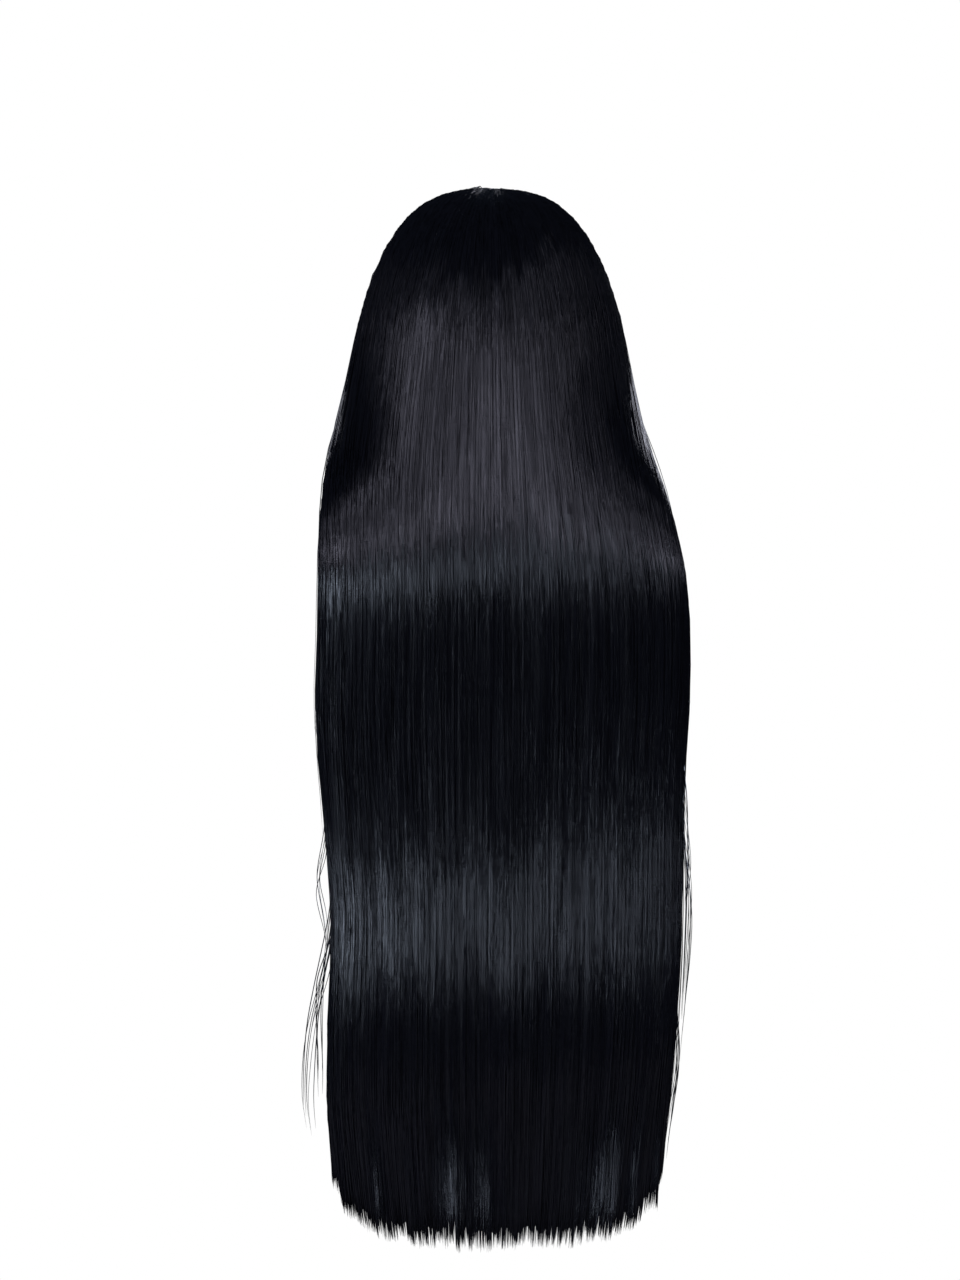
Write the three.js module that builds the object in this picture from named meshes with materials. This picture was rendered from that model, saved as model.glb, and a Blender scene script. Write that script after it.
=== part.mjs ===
// A long straight wig, as it hangs on a head: a thin net cap, the top hair that falls from a centre
// parting to the full length, and the under hair that hangs from the sides and the nape of the cap.
// Millimetres, +Z up, the face towards -Y, the wearer's left towards +X.
// The origin is where the crown of the head touches the inside of the cap.
import * as THREE from "three";

const { lerp, smoothstep, degToRad } = THREE.MathUtils;

// The head that the cap fits
const HEAD_WIDTH = 154;
const HEAD_LENGTH = 196;
const HEAD_RISE = 105; // the crown above the widest level of the head

// The cap
const CAP_WALL = 1.6;
const CAP_TURNS = 36; // columns round the cap
const CAP_RINGS = 8; // rows from its crown to its rim

// The hair's outer form
const TOP_COVER = 15; // hair above the crown of the head
const SIDE_COVER = 27.5; // hair beside the head, ears included
const BACK_COVER = 22; // hair behind the head
const FRONT_COVER = 6; // hair over the brow
const FALL_WIDTH = 298; // twice the widest reach from the middle, on the wearer's right
const FALL_LENGTH = 679; // from the widest level of the head to the longest tips
const BACK_SWAY = 14; // how far the fall swings out behind the back of the head
const FORWARD_TUCK = 92; // how far the sides swing back to pass behind the shoulders

// The parting and the crown
const PART_WIDTH = 3;
const PART_FRONT = 83; // the parting's front end, ahead of the crown
const PART_BACK = 22; // its back end, behind the crown
const PART_DIP = 6; // the hair sinks this much at the parting
const PART_DIP_REACH = 9;
const CROWN_PEAK = 3; // the small ridge where the parting ends
const CROWN_PEAK_REACH = 10;
const CROWN_PEAK_SIDE = 4;

// Layers, locks and tips
const SOFT_GAP = 1.0; // between the layers, less what their flat facets take
const CAP_GAP = 1.4; // between the cap and the hair that lies on it, less what their flat facets take
const TOP_LAYER = 8;
const UNDER_LAYER = 8;
const TIP_WALL = 2.6;
const EDGE_WALL = 3.2; // the hair's thickness at the hairline and along the face
const HEM_RISE = 52; // the outer tips end this much above the middle ones
const HEM_ROUND = 3; // 2 is an even curve, and more is flatter in the middle
const UNDER_RISE = 26; // the under hair ends this much above the top hair
const LOCK_DEPTH = 1.8;
const LOCK_TIP = 9; // a lock's point below the notches beside it
const LOCK_STAGGER = 5; // neighbouring locks differ in length by up to twice this
const TOP_LOCKS = 22;

// Shares of the half width, from the middle of the back to the hair's front edge. The crown feeds the
// hair up to CROWN_SHARE, the side of the parting feeds it up to HAIRLINE_SHARE, and the hairline
// from brow to temple feeds the rest.
const CROWN_SHARE = 0.34;
const HAIRLINE_SHARE = 0.76;
const HAIRLINE_TURN = 44; // degrees from the brow to the temple

// The dome over the head: height = (1 - radius^DOME_ROUND)^DOME_POWER, both as shares.
const DOME_ROUND = 3;
const DOME_POWER = 0.805;

// How much the strands near the front edge take up of the hair's turn round the face: 0 spreads it evenly.
const FLOW = 2;

// Sections of the fall, from the widest level of the head down to the tips.
// drop: share of FALL_LENGTH. left, right: 0 is as wide as the hair on the head, 1 is FALL_WIDTH / 2.
// back: share of BACK_SWAY. tuck: share of FORWARD_TUCK. wrap: degrees from the back to the front edge.
const FALL = [
  { drop: 0, left: 0, right: 0, back: 0, tuck: 0, wrap: 128 },
  { drop: 0.04, left: 0.13, right: 0.12, back: 0.12, tuck: 0.04, wrap: 122 },
  { drop: 0.085, left: 0.29, right: 0.26, back: 0.32, tuck: 0.2, wrap: 113 },
  { drop: 0.13, left: 0.42, right: 0.45, back: 0.48, tuck: 0.47, wrap: 109 },
  { drop: 0.18, left: 0.5, right: 0.67, back: 0.68, tuck: 0.76, wrap: 101 },
  { drop: 0.24, left: 0.54, right: 0.88, back: 0.94, tuck: 0.93, wrap: 94 },
  { drop: 0.31, left: 0.55, right: 1, back: 1, tuck: 1, wrap: 91 },
  { drop: 0.39, left: 0.59, right: 1, back: 0.62, tuck: 1, wrap: 90 },
  { drop: 0.47, left: 0.55, right: 0.92, back: 0.34, tuck: 1, wrap: 90 },
  { drop: 0.56, left: 0.42, right: 0.89, back: 0.3, tuck: 1, wrap: 90 },
  { drop: 0.65, left: 0.3, right: 0.87, back: 0.5, tuck: 1, wrap: 90 },
  { drop: 0.75, left: 0.38, right: 0.8, back: 0.62, tuck: 1, wrap: 90 },
  { drop: 0.85, left: 0.39, right: 0.65, back: 0.36, tuck: 1, wrap: 90 },
  { drop: 0.93, left: 0.24, right: 0.5, back: 0.18, tuck: 1, wrap: 90 },
  { drop: 1, left: 0.05, right: 0.3, back: 0, tuck: 1, wrap: 90 },
];

// The cap's rim. turn: degrees from the brow to the nape. drop: share of HEAD_RISE below the crown.
const CAP_RIM = [
  { turn: 0, drop: 0.36 },
  { turn: 22, drop: 0.36 },
  { turn: 42, drop: 0.37 },
  { turn: 52, drop: 0.42 },
  { turn: 58, drop: 0.62 },
  { turn: 64, drop: 0.95 },
  { turn: 72, drop: 1.08 },
  { turn: 86, drop: 0.9 },
  { turn: 104, drop: 0.92 },
  { turn: 128, drop: 1.2 },
  { turn: 152, drop: 1.46 },
  { turn: 180, drop: 1.52 },
];

// The under hair's panels. from, to: shares of the half width, as across below.
// start: how far down the dome the panel's roots lie, 1 being the head's widest level.
const UNDER_PANELS = [
  { name: "under_hair_right", from: -0.98, to: -0.4, start: 0.9, locks: 6 },
  { name: "nape_hair", from: -0.39, to: 0.39, start: 0.95, locks: 8 },
  { name: "under_hair_left", from: 0.4, to: 0.98, start: 0.9, locks: 6 },
];

// Rows of the dome, 0 at the parting and 1 at the head's widest level.
const DOME_ROWS = [0, 0.1, 0.24, 0.4, 0.56, 0.7, 0.82, 0.9, 0.95];
const LOCKS_PART_AT = 0.85; // share of the fall where the locks' own lengths begin to show
const HEAD_CENTRE = new THREE.Vector3(0, 0, -HEAD_RISE);

// A smooth curve through one column of a table, read at a value of its key column.
function readTable(table, key, name, at) {
  const last = table.length - 1;
  const clamped = Math.min(Math.max(at, table[0][key]), table[last][key]);
  let i = 0;
  while (i < last - 1 && clamped > table[i + 1][key]) i += 1;
  const slope = (k) => {
    const a = table[Math.max(k - 1, 0)];
    const b = table[Math.min(k + 1, last)];
    return (b[name] - a[name]) / (b[key] - a[key]);
  };
  const [low, high] = [table[i], table[i + 1]];
  const span = high[key] - low[key];
  const t = (clamped - low[key]) / span;
  const [t2, t3] = [t * t, t * t * t];
  return (
    (2 * t3 - 3 * t2 + 1) * low[name] +
    (t3 - 2 * t2 + t) * span * slope(i) +
    (3 * t2 - 2 * t3) * high[name] +
    (t3 - t2) * span * slope(i + 1)
  );
}

// The hair's outline at a share of the fall: half widths, and where it is widest, in plan.
function sectionAt(drop) {
  const onHead = HEAD_WIDTH / 2 + SIDE_COVER;
  const centre = FORWARD_TUCK * readTable(FALL, "drop", "tuck", drop);
  const back = HEAD_LENGTH / 2 + BACK_COVER + BACK_SWAY * readTable(FALL, "drop", "back", drop);
  return {
    left: lerp(onHead, FALL_WIDTH / 2, readTable(FALL, "drop", "left", drop)),
    right: lerp(onHead, FALL_WIDTH / 2, readTable(FALL, "drop", "right", drop)),
    centre,
    behind: back - centre,
    ahead: HEAD_LENGTH / 2 + FRONT_COVER,
    wrap: degToRad(readTable(FALL, "drop", "wrap", drop)),
  };
}

// A point of the fall and its outward direction. across: -1 is the right front edge,
// 0 the middle of the back, 1 the left front edge.
function fallPoint(across, drop) {
  const section = sectionAt(drop);
  const ahead = (section.wrap - Math.PI / 2) * Math.abs(across) ** FLOW;
  const turn = across * (Math.PI / 2 + ahead);
  const wide = across > 0 ? section.left : section.right;
  const deep = Math.cos(turn) > 0 ? section.behind : section.ahead;
  return {
    point: new THREE.Vector3(
      wide * Math.sin(turn),
      section.centre + deep * Math.cos(turn),
      HEAD_CENTRE.z - FALL_LENGTH * drop,
    ),
    outward: new THREE.Vector3(Math.sin(turn) / wide, Math.cos(turn) / deep, 0).normalize(),
  };
}

// Where a strand leaves the hairline, the parting or, at the back, the parting's rounded end.
function rootPoint(across) {
  const reach = Math.abs(across);
  const side = Math.sign(across) * (PART_WIDTH / 2);
  if (reach > HAIRLINE_SHARE) {
    const turn = degToRad(HAIRLINE_TURN) * ((reach - HAIRLINE_SHARE) / (1 - HAIRLINE_SHARE));
    const x = side + Math.sign(across) * (HEAD_WIDTH / 2) * Math.sin(turn);
    return new THREE.Vector2(x, -PART_FRONT * Math.cos(turn));
  }
  if (reach >= CROWN_SHARE) {
    const along = (reach - CROWN_SHARE) / (HAIRLINE_SHARE - CROWN_SHARE);
    return new THREE.Vector2(side, lerp(PART_BACK, -PART_FRONT, along));
  }
  const turn = (across / CROWN_SHARE) * (Math.PI / 2);
  return new THREE.Vector2(Math.sin(turn), Math.cos(turn))
    .multiplyScalar(PART_WIDTH / 2)
    .add(new THREE.Vector2(0, PART_BACK));
}

// Height of the hair's dome over a point in plan.
function domeHeight(x, y) {
  const section = sectionAt(0);
  const deep = y > 0 ? section.behind : section.ahead;
  const radius = Math.min(Math.hypot(x / section.left, y / deep), 1);
  const dome = (HEAD_RISE + TOP_COVER) * (1 - radius ** DOME_ROUND) ** DOME_POWER;
  const ahead = smoothstep(PART_BACK - y, 0, PART_BACK);
  const dip = PART_DIP * ahead * Math.exp(-((x / PART_DIP_REACH) ** 2));
  const fromPeak = Math.hypot(x - CROWN_PEAK_SIDE, y - PART_BACK) / CROWN_PEAK_REACH;
  return HEAD_CENTRE.z + dome - dip + CROWN_PEAK * Math.exp(-(fromPeak ** 2));
}

// The point's shadow on a head grown by offset, seen from the middle of the head.
// Below the widest level the head goes straight down.
function onHead(point, offset) {
  const reach = point.clone().sub(HEAD_CENTRE);
  const rise = Math.max(reach.z, 0);
  const share = Math.hypot(
    reach.x / (HEAD_WIDTH / 2 + offset),
    reach.y / (HEAD_LENGTH / 2 + offset),
    rise / (HEAD_RISE + offset),
  );
  return new THREE.Vector3(reach.x / share, reach.y / share, reach.z - rise + rise / share).add(
    HEAD_CENTRE,
  );
}

// A point of the dome, share 0 at the parting and 1 at the head's widest level.
function domePoint(across, share) {
  const root = rootPoint(across);
  const rim = fallPoint(across, 0).point;
  const [x, y] = [lerp(root.x, rim.x, share), lerp(root.y, rim.y, share)];
  const point = new THREE.Vector3(x, y, domeHeight(x, y));
  const outward = point.clone().sub(HEAD_CENTRE).normalize();
  const edge = onHead(point, CAP_WALL + CAP_GAP).addScaledVector(outward, EDGE_WALL);
  const rooted = smoothstep(Math.abs(across), HAIRLINE_SHARE - 0.14, HAIRLINE_SHARE);
  const atBrow = rooted * (1 - smoothstep(share, 0, 0.5));
  const atFace = faceEdge(across) * (1 - share * share);
  return { point: point.lerp(edge, 1 - (1 - atBrow) * (1 - atFace)), outward };
}

// 1 along the hair's front edge, 0 further in.
function faceEdge(across) {
  return smoothstep(Math.abs(across), 0.84, 1);
}

// A strand's rows: shares of the dome from where it starts, then drops down the fall to its tip.
function strandRows(start, tip) {
  const dome = DOME_ROWS.filter((share) => share >= start).map((share) => ({ dome: share }));
  const fall = FALL.filter(({ drop }) => drop <= LOCKS_PART_AT).map(({ drop }) => ({ drop }));
  return [...dome, ...fall, { drop: (LOCKS_PART_AT + tip) / 2 }, { drop: tip }];
}

// The outer surface at one row of a strand, the depths of both layers below it, and how far each
// layer has left the head: free for the top hair, hang for the under hair.
function strandPlace(across, row) {
  const onDome = row.dome !== undefined;
  const place = onDome ? domePoint(across, row.dome) : fallPoint(across, row.drop);
  const thin = onDome ? 0 : smoothstep(row.drop, 0.5, 0.95);
  const edge = onDome ? 0 : faceEdge(across) * (1 - thin);
  const depth = (layer) => lerp(lerp(layer, TIP_WALL, thin), EDGE_WALL, edge);
  const below = (HEAD_CENTRE.z - place.point.z) / HEAD_RISE;
  return {
    ...place,
    top: depth(TOP_LAYER),
    under: depth(UNDER_LAYER),
    free: smoothstep(below, -0.65, -0.2),
    hang: smoothstep(below, 0.05, 1.1),
  };
}

// Columns of one layer: three to a lock, its groove and its two crests.
function lockColumns(from, to, locks) {
  const columns = [];
  const border = (i) => {
    const sway = i > 0 && i < locks ? 0.22 * Math.sin(2.3 * i) : 0;
    return lerp(from, to, (i + sway) / locks);
  };
  for (let i = 0; i < locks; i += 1) {
    const stagger = LOCK_STAGGER * Math.sin(2.4 * i + 1);
    for (const step of [0, 0.3, 0.7])
      columns.push({
        across: lerp(border(i), border(i + 1), step),
        crest: step > 0 ? 1 : 0,
        tip: step > 0 ? LOCK_TIP + stagger : 0,
      });
  }
  columns.push({ across: to, crest: 0, tip: 0 });
  return columns;
}

// How long a strand falls, as a share of FALL_LENGTH.
function strandLength(column, rise) {
  const hem = HEM_RISE * Math.abs(column.across) ** HEM_ROUND + rise;
  return (FALL_LENGTH - LOCK_TIP - LOCK_STAGGER - hem + column.tip) / FALL_LENGTH;
}

// A layer of hair as one closed body: its columns are strands, and place gives the outer and the
// inner point of a column at one row.
function layer(columns, start, rise, place) {
  const strands = columns.map((column) =>
    strandRows(start, strandLength(column, rise)).map((row) => place(column, row)),
  );
  const grid = (side) => strands[0].map((_, r) => strands.map((strand) => strand[r][side]));
  return shell(grid("outer"), grid("inner"));
}

// The top hair: from the parting over the cap and the under hair to the full length.
function topHair() {
  return layer(lockColumns(-1, 1, TOP_LOCKS), 0, 0, (column, row) => {
    const { point, outward, top, free } = strandPlace(column.across, row);
    const groove = Math.min(LOCK_DEPTH * free * (1 - column.crest), top / 3);
    const lying = onHead(point, CAP_WALL + CAP_GAP);
    const hanging = point.clone().addScaledVector(outward, -top);
    return {
      outer: point.clone().addScaledVector(outward, -groove),
      inner: lying.lerp(hanging, free),
    };
  });
}

// One panel of the under hair: it lies between the cap and the top hair, then hangs inside the fall.
function underHair({ from, to, start, locks }) {
  return layer(lockColumns(from, to, locks), start, UNDER_RISE, (column, row) => {
    const { point, outward, top, under, free, hang } = strandPlace(column.across, row);
    const groove = Math.min(LOCK_DEPTH * hang * (1 - column.crest), under / 3);
    const lying = onHead(point, CAP_WALL + CAP_GAP);
    const roof = lying
      .clone()
      .lerp(point.clone().addScaledVector(outward, -top), free)
      .addScaledVector(outward, -SOFT_GAP);
    const hanging = roof.clone().addScaledVector(outward, groove - under);
    return { outer: roof, inner: lying.lerp(hanging, hang) };
  });
}

// The net cap, a wall of even thickness over the head, open at the face and the neck.
function cap() {
  const wall = (offset) => {
    const rows = [];
    for (let ring = 0; ring <= CAP_RINGS; ring += 1) {
      const row = [];
      for (let i = 0; i < CAP_TURNS; i += 1) {
        const turn = (360 * i) / CAP_TURNS;
        const fromBrow = Math.min(turn, 360 - turn);
        const rim = Math.acos(1 - readTable(CAP_RIM, "turn", "drop", fromBrow));
        const tilt = (rim * ring) / CAP_RINGS;
        const around = degToRad(turn);
        row.push(
          new THREE.Vector3(
            -(HEAD_WIDTH / 2 + offset) * Math.sin(tilt) * Math.sin(around),
            -(HEAD_LENGTH / 2 + offset) * Math.sin(tilt) * Math.cos(around),
            HEAD_CENTRE.z + (HEAD_RISE + offset) * Math.cos(tilt),
          ),
        );
      }
      rows.push(row);
    }
    return rows;
  };
  return shell(wall(CAP_WALL), wall(0), true);
}

// A closed body between two grids of points. Rows run down, columns run round, and a closed ring
// of columns joins on to itself. Rows that meet in one point leave no face behind.
function shell(outer, inner, ring = false) {
  const [rows, columns] = [outer.length, outer[0].length];
  const points = [...outer.flat(), ...inner.flat()];
  const index = [];
  const outside = (r, c) => r * columns + (c % columns);
  const inside = (r, c) => outside(r, c) + rows * columns;
  const face = (a, b, c, d) => {
    for (const corners of [
      [a, b, c],
      [a, c, d],
    ]) {
      const [p, q, s] = corners.map((k) => points[k]);
      if (!p.equals(q) && !q.equals(s) && !s.equals(p)) index.push(...corners);
    }
  };
  const steps = ring ? columns : columns - 1;
  for (let r = 0; r < rows - 1; r += 1)
    for (let c = 0; c < steps; c += 1) {
      face(outside(r, c), outside(r, c + 1), outside(r + 1, c + 1), outside(r + 1, c));
      face(inside(r, c), inside(r + 1, c), inside(r + 1, c + 1), inside(r, c + 1));
    }
  for (let c = 0; c < steps; c += 1) {
    face(outside(0, c), inside(0, c), inside(0, c + 1), outside(0, c + 1));
    const end = rows - 1;
    face(outside(end, c), outside(end, c + 1), inside(end, c + 1), inside(end, c));
  }
  if (!ring)
    for (let r = 0; r < rows - 1; r += 1) {
      face(outside(r, 0), outside(r + 1, 0), inside(r + 1, 0), inside(r, 0));
      const end = columns - 1;
      face(outside(r, end), inside(r, end), inside(r + 1, end), outside(r + 1, end));
    }
  const geometry = new THREE.BufferGeometry();
  geometry.setAttribute(
    "position",
    new THREE.Float32BufferAttribute(
      points.flatMap((p) => p.toArray()),
      3,
    ),
  );
  geometry.setIndex(index);
  geometry.computeVertexNormals();
  return geometry;
}

const hairMaterial = new THREE.MeshStandardMaterial({
  color: 0x0b0b10,
  roughness: 0.34,
  metalness: 0,
});
const netMaterial = new THREE.MeshStandardMaterial({
  color: 0x15120f,
  roughness: 0.85,
  metalness: 0,
});

const wig = new THREE.Group();
function add(name, geometry, material) {
  const mesh = new THREE.Mesh(geometry, material);
  mesh.name = name;
  wig.add(mesh);
}

add("cap", cap(), netMaterial);
add("top_hair", topHair(), hairMaterial);
for (const panel of UNDER_PANELS) add(panel.name, underHair(panel), hairMaterial);

export default wig;
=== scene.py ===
import math

import bpy
import numpy as np
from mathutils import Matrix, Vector

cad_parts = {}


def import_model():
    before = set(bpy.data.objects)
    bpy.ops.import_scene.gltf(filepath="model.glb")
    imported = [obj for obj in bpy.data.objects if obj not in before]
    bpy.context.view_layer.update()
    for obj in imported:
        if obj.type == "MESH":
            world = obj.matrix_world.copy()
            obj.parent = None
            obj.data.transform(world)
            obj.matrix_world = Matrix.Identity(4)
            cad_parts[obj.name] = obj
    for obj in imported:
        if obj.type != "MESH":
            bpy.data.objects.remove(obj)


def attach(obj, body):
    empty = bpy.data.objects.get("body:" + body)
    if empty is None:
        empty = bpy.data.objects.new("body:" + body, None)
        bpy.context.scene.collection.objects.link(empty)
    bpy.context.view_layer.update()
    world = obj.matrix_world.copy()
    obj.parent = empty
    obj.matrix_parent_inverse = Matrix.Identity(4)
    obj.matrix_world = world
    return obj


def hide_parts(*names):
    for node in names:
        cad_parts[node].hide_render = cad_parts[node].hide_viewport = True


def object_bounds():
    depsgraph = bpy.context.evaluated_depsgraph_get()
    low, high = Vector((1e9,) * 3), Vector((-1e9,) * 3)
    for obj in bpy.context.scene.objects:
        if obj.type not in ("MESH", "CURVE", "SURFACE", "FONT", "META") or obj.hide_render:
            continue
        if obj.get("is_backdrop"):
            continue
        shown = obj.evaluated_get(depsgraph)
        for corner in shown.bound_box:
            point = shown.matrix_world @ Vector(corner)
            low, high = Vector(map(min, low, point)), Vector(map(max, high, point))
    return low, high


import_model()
cad_low, cad_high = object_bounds()

MM = 0.001

# The head that the cap fits
HEAD_WIDTH = 154
HEAD_LENGTH = 196
HEAD_RISE = 105
HEAD_CENTRE = np.array([0.0, 0.0, -HEAD_RISE])

# The hair's outer form
TOP_COVER = 15
SIDE_COVER = 27.5
BACK_COVER = 22
FRONT_COVER = 6
FALL_WIDTH = 298
FALL_LENGTH = 679
BACK_SWAY = 14
SIDE_SWAY = 0.75  # the share of the back's swell that the sides take part in
FORWARD_TUCK = 92

# The parting and the crown
PART_WIDTH = 3
PART_FRONT = 83
PART_BACK = 22
PART_DIP = 6
PART_DIP_REACH = 9
CROWN_PEAK = 3
CROWN_PEAK_REACH = 10
CROWN_PEAK_SIDE = 4
CROWN_SHARE = 0.34
HAIRLINE_SHARE = 0.76
HAIRLINE_TURN = 44
DOME_ROUND = 3
DOME_POWER = 0.805
FLOW = 2

# Layers
CAP_WALL = 1.6
CAP_GAP = 1.4
SOFT_GAP = 1.0
TOP_LAYER = 8
UNDER_LAYER = 8
TIP_WALL = 2.6
EDGE_WALL = 3.2
HEM_RISE = 52
HEM_ROUND = 3
UNDER_RISE = 26

# Sections of the fall, as shares. They turn more sharply than in the frame, because the turns give the bands
# of sheen their edges. The form lies up to 6 mm from the frame's in the middle and 11 mm at the side edges.
FALL = [
    dict(drop=0, left=0, right=0, back=0, tuck=0, wrap=128),
    dict(drop=0.04, left=0.13, right=0.12, back=0.19, tuck=0.05, wrap=121),
    dict(drop=0.085, left=0.29, right=0.26, back=0.35, tuck=0.26, wrap=111.5),
    dict(drop=0.13, left=0.42, right=0.45, back=0.51, tuck=0.66, wrap=104),
    dict(drop=0.18, left=0.5, right=0.67, back=0.71, tuck=0.92, wrap=95.8),
    dict(drop=0.21, left=0.525, right=0.78, back=0.82, tuck=0.962, wrap=93.2),
    dict(drop=0.235, left=0.54, right=0.87, back=0.89, tuck=0.978, wrap=92.2),
    dict(drop=0.255, left=0.54, right=0.92, back=0.915, tuck=0.983, wrap=91.6),
    dict(drop=0.27, left=0.545, right=0.95, back=0.905, tuck=0.98, wrap=91.2),
    dict(drop=0.29, left=0.55, right=0.98, back=0.86, tuck=0.975, wrap=90.9),
    dict(drop=0.33, left=0.56, right=1, back=0.74, tuck=0.967, wrap=90.4),
    dict(drop=0.39, left=0.59, right=1, back=0.56, tuck=0.96, wrap=90),
    dict(drop=0.45, left=0.56, right=0.94, back=0.42, tuck=0.955, wrap=90),
    dict(drop=0.5, left=0.49, right=0.91, back=0.36, tuck=0.95, wrap=90),
    dict(drop=0.55, left=0.43, right=0.89, back=0.335, tuck=0.953, wrap=90),
    dict(drop=0.59, left=0.37, right=0.885, back=0.36, tuck=0.976, wrap=90),
    dict(drop=0.62, left=0.33, right=0.88, back=0.44, tuck=0.994, wrap=90),
    dict(drop=0.65, left=0.33, right=0.87, back=0.54, tuck=0.999, wrap=90),
    dict(drop=0.686, left=0.34, right=0.85, back=0.66, tuck=1, wrap=90),
    dict(drop=0.72, left=0.36, right=0.82, back=0.75, tuck=1, wrap=90),
    dict(drop=0.753, left=0.385, right=0.79, back=0.78, tuck=1, wrap=90),
    dict(drop=0.8, left=0.39, right=0.73, back=0.71, tuck=1, wrap=90),
    dict(drop=0.85, left=0.39, right=0.65, back=0.58, tuck=1, wrap=90),
    dict(drop=0.9, left=0.3, right=0.56, back=0.45, tuck=1, wrap=90),
    dict(drop=0.95, left=0.19, right=0.45, back=0.36, tuck=1, wrap=90),
    dict(drop=1, left=0.05, right=0.3, back=0.32, tuck=1, wrap=90),
]

# The cap's rim: degrees from the brow to the nape, and the share of HEAD_RISE below the crown
CAP_RIM = [
    dict(turn=0, drop=0.36),
    dict(turn=22, drop=0.36),
    dict(turn=42, drop=0.37),
    dict(turn=52, drop=0.42),
    dict(turn=58, drop=0.62),
    dict(turn=64, drop=0.95),
    dict(turn=72, drop=1.08),
    dict(turn=86, drop=0.9),
    dict(turn=104, drop=0.92),
    dict(turn=128, drop=1.2),
    dict(turn=152, drop=1.46),
    dict(turn=180, drop=1.52),
]

# The under hair's panels, as shares of the half width, and how far down the dome they start
UNDER_PANELS = [
    dict(name="under_hair_right", low=-0.98, high=-0.4, start=0.9),
    dict(name="nape_hair", low=-0.39, high=0.39, start=0.95),
    dict(name="under_hair_left", low=0.4, high=0.98, start=0.9),
]

# The mass of the hair
MASS_SINK = 1.3  # the mass lies this far under the outer form, which the strands fill
MASS_COLUMNS = 300
MASS_DOME_ROWS = 30
MASS_FALL_ROWS = 50
MASS_LOCKS = 96
MASS_LOCK_DEPTH = 1.1
MASS_SHORT = 11  # the mass ends this much above the longest strands
MASS_RAGGED = 14  # and its locks end this unevenly
UNDER_COLUMNS = 150  # for the whole half width of 2
UNDER_DOME_ROWS = 8
UNDER_FALL_ROWS = 44

# Strands, and the bunches that they lie in
TOP_STRANDS = 3400
UNDER_STRANDS = 900
STRAND_WIDTHS = (0.5, 1.5)
STRAND_FLAT = 0.6  # thickness as a share of the width
DOME_STEPS = 8
FALL_STEPS = 20
BUNCHES = 240
BUNCH_WAVE = 0.75  # how far a bunch swings in and out as it falls
BUNCH_CYCLES = (2.5, 5.5)
BUNCH_SPREAD = 7  # how unevenly the bunches end
TIP_TAPER = (7, 22)  # the length that a strand tapers over at its tip
TIP_SPREAD = 22  # how unevenly the strands of a bunch end
FLICK = 12  # how far groups of strands flick out at their ends
FLICK_GROUPS = 34
CROWN_LIFT = 2.6  # the strands stand this far up over the crown
TOP_PARTS = [("right", -1, -0.34), ("back", -0.34, 0.34), ("left", 0.34, 1)]
UNDER_PARTS = [("right", -0.98, -0.385), ("back", -0.4, 0.4), ("left", 0.385, 0.98)]

# Loose strands. side is +1 on the wearer's left, top and bottom are heights, reach is how far they stand out,
# full_at is the share of their length where they stand out most, and back_in how much they turn in again.
WISPS = [
    dict(side=1, top=-470, bottom=-572, reach=11, full_at=0.5, back_in=0.6, wave=1, uneven=30, strands=5),
    dict(side=1, top=-515, bottom=-702, reach=19, full_at=0.85, back_in=0.05, wave=1.6, uneven=30, strands=7),
    dict(side=1, top=-555, bottom=-672, reach=10, full_at=0.4, back_in=0.2, wave=1.2, uneven=30, strands=5),
    dict(side=-1, top=-419, bottom=-540, reach=9, full_at=0.7, back_in=0.4, wave=1.2, uneven=30, strands=5),
    dict(side=-1, top=-440, bottom=-646, reach=8, full_at=0.5, back_in=0.3, wave=1, uneven=60, strands=7),
    dict(side=-1, top=-600, bottom=-720, reach=5, full_at=0.5, back_in=0.3, wave=0.8, uneven=40, strands=5),
]
WISP_ACROSS = 0.97
WISP_WIDTHS = (0.35, 0.9)
WISP_STEPS = 24
FLYAWAYS = 150
FLYAWAY_LIFT = 3

# The cap's net
CAP_TURNS = 120
CAP_RINGS = 60
NET_THREAD = (0.02, 0.018, 0.016)
NET_HOLE = (0.004, 0.0035, 0.003)

# The camera: what it sees at the wig, in millimetres, and how far away it stands, in metres
SENSOR = 36
FRAME_HEIGHT = 973
FRAME_MIDDLE = (7.6, 45, -328)
CAMERA_DISTANCE = 4.0

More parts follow.
